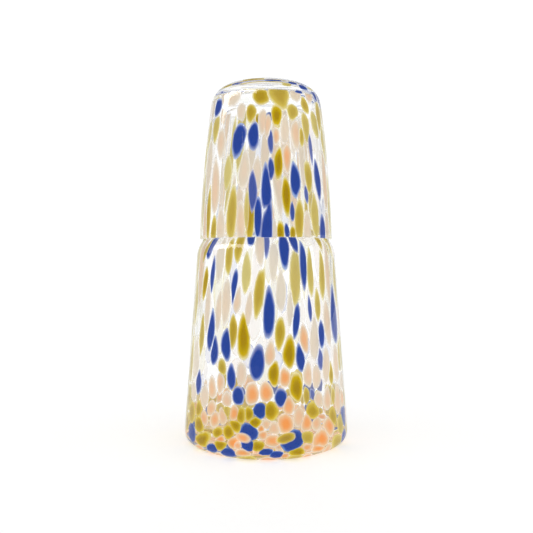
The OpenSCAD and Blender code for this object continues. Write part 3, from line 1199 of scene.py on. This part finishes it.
@dataclass
class Vessel:
    """A blown vessel with chips in its wall, in millimetres and degrees.

    It holds the sizes of the carafe that the tumbler follows too, because its rim rests on the
    shoulder. A centre is a radius and a height. The outline starts and ends on the axis: its
    first side leads to the rim, and its second side leads back. Calm lengths are how far from
    its ends, and from the middle, a wall starts to ripple, and how far on it ripples fully.
    """

    body: str = ""
    carafe_h: float = 190.0
    body_d: float = 94.6
    body_h: float = 107.0
    body_lean: float = 4.0
    foot_r: float = 6.5
    shoulder_r: float = 17.0
    tumbler_wall: float = 2.2
    seat_angle: float = 39.9
    seat_gap: float = 0.3
    first_side: tuple = ()
    second_side: tuple = ()
    coats: tuple[Coat, ...] = ()
    columns: int = 44
    seed: int = 1
    sides: int = 160
    pitch: float = 2.0
    first_ripple: Ripple = Ripple(depth=0.02, fewest=5, most=31, seed=3)
    second_ripple: Ripple = Ripple(depth=0.11, fewest=3, most=47, seed=4)
    calm_edge: float = 3.0
    calm_low: float = 10.0
    calm_high: float = 8.0
    calm_middle: float = 6.0
    calm_out: float = 14.0
    unevenness: float = 0.6
    chip_sides: int = 18

    @property
    def foot(self) -> np.ndarray:
        """Centre of the turn at the carafe's foot."""
        return np.array([self.body_d / 2 - self.foot_r, self.foot_r])

    @property
    def shoulder(self) -> np.ndarray:
        """Centre of the carafe's shoulder, which the leaning wall runs into."""
        out = toward(self.body_lean)
        wall_end = along_wall(self.foot + self.foot_r * out, self.body_h, self.body_lean)
        return wall_end - self.shoulder_r * out

    @property
    def rim(self) -> np.ndarray:
        """Middle of the tumbler's rim, where it rests on the shoulder."""
        reach = self.shoulder_r + self.seat_gap + self.tumbler_wall / 2
        return self.shoulder + reach * toward(self.seat_angle)

    def glass(self, finish: bpy.types.Material) -> bpy.types.Object:
        """Builds the clear wall.

        Args:
            finish: its material.

        Returns:
            The wall, as a closed solid.
        """
        rows = outline(self.first_side + self.second_side, self.pitch)
        way = way_along(rows)[1:-1, None]
        turn = np.arange(self.sides)[None] * FULL_TURN / self.sides
        on_first = np.arange(1, len(rows) - 1) < len(outline(self.first_side, self.pitch))
        ripples = (self.first_ripple.at(turn, way), self.second_ripple.at(turn, way))
        shift = np.where(on_first[:, None], *ripples) * self._calm(rows)[1:-1, None]
        wall = lathe(f"{self.body}_wall", rows, self.sides, shift)
        wall.data.materials.append(finish)
        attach(wall, self.body)
        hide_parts(f"{self.body}_glass")
        return wall

    def _calm(self, rows: np.ndarray) -> np.ndarray:
        """Where the wall is free to ripple: not at its contacts, its lip or near the axis.

        Args:
            rows: the outline, in millimetres.

        Returns:
            A share from 0 to 1 for each point.
        """
        r, z = rows.T
        low, high = z.min(), z.max()
        from_foot = (z - low - self.calm_edge) / self.calm_low
        from_top = (high - z - self.calm_edge) / self.calm_high
        share = np.minimum(from_foot, from_top)
        return np.clip(np.minimum(share, (r - self.calm_middle) / self.calm_out), 0, 1)

    def chips(self, tree: MeltTree, finishes: dict[Kind, bpy.types.Material]) -> list:
        """Builds the chips, as one mesh for each coat and colour.

        Args:
            tree: the geometry nodes that make them.
            finishes: a material for each kind.

        Returns:
            The pieces.
        """
        pieces = []
        for coat in self.coats:
            path = outline(coat.path, self.pitch / 2)
            layer = Layer.along(path, coat.depth, self.columns, coat.lengths)
            columns = Scatter(layer, coat, self.seed).sites()
            held = set(columns["kind"].astype(int))
            sites = mesh_object(f"{self.body}_sites", columns.pop("position"), [])
            for name, value in columns.items():
                kind, part = (VECTOR, "vector") if value.ndim > 1 else ("FLOAT", "value")
                attribute = sites.data.attributes.new(name, kind, "POINT")
                attribute.data.foreach_set(part, value.ravel())
            wall = layer.table(f"{self.body}_table")
            given = {
                "Wall": wall,
                "Row step": Layer.ROW_STEP,
                "Cut row": layer.row_at(coat.cut),
                "Columns": float(self.columns),
                "Half thickness": coat.half_thickness * MM,
                "Unevenness": self.unevenness,
                "Seed": float(self.seed),
                "Sides": self.chip_sides,
            }
            for kind in (k for k in finishes if k in held):
                label = kind.name.lower()
                given |= {"Kind": float(kind), "Glass": finishes[kind]}
                chips = tree.chips(f"{self.body}_{label}_{coat.name}", sites, given)
                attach(chips, self.body)
                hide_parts(f"{self.body}_{label}_chips")
                pieces.append(chips)
            for helper in (sites, wall):
                data = helper.data
                bpy.data.objects.remove(helper)
                bpy.data.meshes.remove(data)
        return pieces


@dataclass
class Carafe(Vessel):
    """The carafe, from its push-up and foot to the lip of its neck.

    Its chips start at a place under the push-up, and end a little below the top of the lip.
    """

    body: str = "carafe"
    wall: float = 2.8
    floor: float = 7.0
    floor_r: float = 9.0
    foot_ring_w: float = 5.0
    punt_h: float = 2.5
    neck_lean: float = 4.7
    neck_turn_r: float = 5.0
    neck_gap: float = 6.5
    seed: int = 5
    chips_from: tuple[float, float] = (12.0, 2.2)
    chips_punt_angle: float = 86.0
    chips_end: float = 2.5
    lengths: tuple = ((0, 6), (30, 7), (50, 8), (62, 9), (78, 14), (95, 24), (125, 34), (400, 34))

    def __post_init__(self) -> None:
        """Works out the outline, and lays the coats: chips everywhere, and a few over some."""
        ring = self.foot[0] - self.foot_ring_w
        punt_r = (ring**2 + self.punt_h**2) / (2 * self.punt_h)
        punt = np.array([0, self.punt_h - punt_r])
        punt_edge = bearing(np.array([ring, 0]) - punt)
        lip, neck_turn = self._neck()
        bend = bearing(neck_turn - self.shoulder)
        neck, top = self.neck_lean + 180, self.neck_lean + 90
        inner = self.foot + (self.foot_r - self.wall - self.floor_r) * toward(self.body_lean)
        floor_turn = along_wall(inner, self.floor + self.floor_r, self.body_lean)
        self.first_side = (
            Turn(punt, punt_r, 90, punt_edge),
            Turn(self.foot, self.foot_r, -90, self.body_lean),
            Turn(self.shoulder, self.shoulder_r, self.body_lean, bend),
            Turn(neck_turn, self.neck_turn_r, bend + 180, neck),
            Turn(lip, self.wall / 2, self.neck_lean, top),
        )
        self.second_side = (
            Turn(lip, self.wall / 2, top, neck),
            Turn(neck_turn, self.neck_turn_r + self.wall, neck, bend + 180),
            Turn(self.shoulder, self.shoulder_r - self.wall, bend, self.body_lean),
            Turn(floor_turn, self.floor_r, self.body_lean, -90),
            (0, self.floor),
        )
        push_up = Turn(punt, punt_r, self.chips_punt_angle, punt_edge)
        lip_side = lip + self.wall / 2 * toward(self.neck_lean)
        chips_to = along_wall(lip_side, self.carafe_h - self.chips_end, self.neck_lean)
        up = (self.chips_from, push_up, *self.first_side[1:4], chips_to)
        flecks = {"depth": 1.15, "half_thickness": 0.42, "swept": 6.0, "fill_to": 224.0, "foot": 62.0}
        overlaid = {"depth": 0.45, "half_thickness": 0.2, "soft": 0.9}
        self.coats = (
            Coat("flecks", up, self.lengths, CARAFE_FRONT, **flecks),
            Coat("overlaid", up, self.lengths, CARAFE_OVER, **overlaid),
        )

    def _neck(self) -> tuple[np.ndarray, np.ndarray]:
        """Finds the middle of the lip, and the hollow turn that touches neck and shoulder.

        Returns:
            The two centres.
        """
        out, down = toward(self.neck_lean), toward(self.neck_lean - 90)
        half = self.wall / 2
        root = self.rim - (self.tumbler_wall / 2 + self.neck_gap, 0)
        lip = along_wall(root - half * out, self.carafe_h - half, self.neck_lean)
        above = lip + (half + self.neck_turn_r) * out - self.shoulder
        reach = self.shoulder_r + self.neck_turn_r
        drop = -(above @ down) - math.sqrt((above @ down) ** 2 - above @ above + reach**2)
        return lip, self.shoulder + above + drop * down


@dataclass
class Tumbler(Vessel):
    """The tumbler, upside down, from its cut rim to its heavy end.

    The inner edge of the cut is given as a place from the middle of the rim.
    """

    body: str = "tumbler"
    lean: float = 1.8
    bow_r: float = 750.0
    end: float = 6.5
    turn_r: float = 13.0
    inner_r: float = 9.0
    lip_gap: float = 9.3
    rim_inner_angle: float = 1.75
    rim_outer_angle: float = 1.74
    rim_edge: tuple[float, float] = (-0.546, -1.097)
    columns: int = 42
    seed: int = 8
    lengths: tuple = ((0, 34), (40, 30), (58, 19), (68, 13), (76, 9), (200, 7))

    def __post_init__(self) -> None:
        """Works out the outline, and lays the coats."""
        floor = self.carafe_h + self.lip_gap
        top, inside = floor + self.end, self.bow_r - self.tumbler_wall
        bow = self.rim + (self.tumbler_wall / 2 - self.bow_r) * toward(self.lean)
        inner_turn = self._on_bow(bow, inside - self.inner_r, floor - self.inner_r)
        outer_turn = self._on_bow(bow, self.bow_r - self.turn_r, top - self.turn_r)
        inner_bend, outer_bend = bearing(inner_turn - bow), bearing(outer_turn - bow)
        self.first_side = (
            (0, floor),
            Turn(inner_turn, self.inner_r, 90, inner_bend),
            Turn(bow, inside, inner_bend, self.rim_inner_angle),
            self.rim + self.rim_edge,
        )
        up = (
            Turn(bow, self.bow_r, self.rim_outer_angle, outer_bend),
            Turn(outer_turn, self.turn_r, outer_bend, 90),
        )
        self.second_side = (*up, (0, top))
        flecks = {"depth": 0.95, "half_thickness": 0.36, "cut": 80.0, "fill_to": 75.0}
        streaks = {"depth": 0.6, "half_thickness": 0.3}
        overlaid = {"depth": 0.4, "half_thickness": 0.18, "soft": 0.9}
        self.coats = (
            Coat("flecks", up, self.lengths, TUMBLER_FRONT, **flecks),
            Coat("end_streaks", up, self.lengths, TUMBLER_END, **streaks),
            Coat("overlaid", up, self.lengths, TUMBLER_OVER, **overlaid),
        )

    @staticmethod
    def _on_bow(bow: np.ndarray, radius: float, height: float) -> np.ndarray:
        """The point at a height on a circle round the bow's centre."""
        return bow + radius * toward(math.degrees(math.asin((height - bow[1]) / radius)))


# Studio


@dataclass(frozen=True)
class SoftBox:
    """A far soft box that only shows where polished glass mirrors it.

    It reaches from one direction to another. Its half height is the tangent of an angle.
    """

    start: tuple[float, float, float]
    end: tuple[float, float, float]
    half_height: float
    level: float

    SOFT_EDGE = 0.15
    LEAST_AHEAD = 1e-3

    def light(self, sky: Bench, ray: Wire) -> Wire:
        """Builds the box into the world's tree.

        Args:
            sky: the world's tree.
            ray: the direction looked in.

        Returns:
            Its light in that direction.
        """
        start, end = Vector(self.start).normalized(), Vector(self.end).normalized()
        axis, side = (start + end).normalized(), (end - start).normalized()
        half_width = math.tan(start.angle(end) / 2)
        ahead = sky.vector("DOT_PRODUCT", ray, tuple(axis)).at_least(self.LEAST_AHEAD)
        shares = []
        for across, half in ((side, half_width), (side.cross(axis), self.half_height)):
            off = sky.math("ABSOLUTE", sky.vector("DOT_PRODUCT", ray, tuple(across)) / ahead)
            shares.append(((half - off) / (self.SOFT_EDGE * half)).within_one())
        return shares[0] * self.level * shares[1]


SOFT_BOXES = (
    SoftBox((-0.84, 0.16, 0.38), (-0.25, -0.72, 0.6), 0.13, 15.0),
    SoftBox((-0.86, 0.27, 0.47), (-0.62, -0.55, 0.58), 0.12, 3.0),
    SoftBox((-0.66, -0.66, 0.34), (-0.64, -0.66, 0.42), 0.01, 30.0),
)


@dataclass(frozen=True)
class Studio:
    """A plain pale floor, and soft light all round, with dark flags beside a bright back.

    Flags and back are each eased in over a range of the direction's Y.
    """

    around: float = 0.75
    flags: float = 0.3
    flags_over: tuple[float, float] = (0.1, 0.4)
    back: float = 1.1
    back_over: tuple[float, float] = (0.62, 0.87)
    floor_half: float = 3.0
    floor_drop: float = 0.0001
    floor_grey: Colour = (0.85, 0.85, 0.85, 1.0)
    floor_glow: float = 0.46

    def build(self) -> None:
        """Makes the floor and the light."""
        h, z = self.floor_half, -self.floor_drop
        places = np.array([(-h, -h, z), (h, -h, z), (h, h, z), (-h, h, z)])
        floor = mesh_object("studio_floor", places, [(0, 1, 2, 3)])
        material = bpy.data.materials.new("pale_floor")
        Bench.of(material).surface(
            {
                "Base Color": self.floor_grey,
                "Roughness": 0.9,
                "Specular IOR Level": 0.1,
                "Emission Color": (1.0, 1.0, 1.0, 1.0),
                "Emission Strength": self.floor_glow,
            }
        )
        floor.data.materials.append(material)
        world = bpy.data.worlds.new("soft_white")
        bpy.context.scene.world = world
        self._light(Bench.of(world))

    def _light(self, sky: Bench) -> None:
        """Builds the world's light. The camera itself sees the same plain back all round.

        Args:
            sky: the world's tree.
        """
        ray = sky.add("ShaderNodeTexCoord")["Generated"]
        away = sky.parts(ray)["Y"]
        level = self.around + (self.flags - self.around) * sky.eased(away, *self.flags_over)
        level = level + (self.back - self.flags) * sky.eased(away, *self.back_over)
        path = sky.add("ShaderNodeLightPath")
        level = level + (self.back - level) * path["Is Camera Ray"]
        mirrored = path["Is Glossy Ray"] * (1 - path["Is Transmission Ray"])
        mirrored = mirrored * (1 - path["Diffuse Depth"].within_one())
        for box in SOFT_BOXES:
            level = level + box.light(sky, ray) * mirrored
        values = {"Color": sky.joined(level, level, level), "Strength": 1.0}
        light = sky.add("ShaderNodeBackground", values)["Background"]
        sky.add("ShaderNodeOutputWorld", {"Surface": light})


@dataclass(frozen=True)
class View:
    """The photograph's camera: level, close, and a little above the carafe's middle."""

    distance: float = 0.381
    eye_height: float = 0.1018
    lens: float = 43.9
    sensor: float = 36.0
    shift: tuple[float, float] = (0.0009, -0.0028)
    nearest: float = 0.01

    def build(self) -> None:
        """Makes the camera and sets how colours are shown, and how far light is followed."""
        data = bpy.data.cameras.new("photo_camera")
        data.lens = self.lens
        data.sensor_width = self.sensor
        data.shift_x, data.shift_y = self.shift
        data.clip_start = self.nearest
        camera = bpy.data.objects.new("photo_camera", data)
        camera.location = (0.0, -self.distance, self.eye_height)
        camera.rotation_euler = (math.pi / 2, 0.0, 0.0)
        scene = bpy.context.scene
        scene.collection.objects.link(camera)
        scene.camera = camera
        scene.view_settings.view_transform = "Standard"
        scene.view_settings.look = "None"
        scene.cycles.max_bounces = 28
        scene.cycles.transmission_bounces = 24
        scene.cycles.glossy_bounces = 8
        scene.cycles.transparent_max_bounces = 48


def main() -> None:
    """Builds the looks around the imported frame."""
    logging.basicConfig(level=logging.INFO, format="%(name)s: %(message)s")
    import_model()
    View().build()
    Studio().build()
    clear = ClearGlass().material()
    finishes = {kind: finish.material() for kind, finish in CHIP_FINISHES.items()}
    tree = MeltTree()
    for vessel in (Carafe(), Tumbler()):
        for piece in (vessel.glass(clear), *vessel.chips(tree, finishes)):
            LOG.info("%s: %d faces", piece.name, len(piece.data.polygons))


if __name__ == "__main__":
    main()
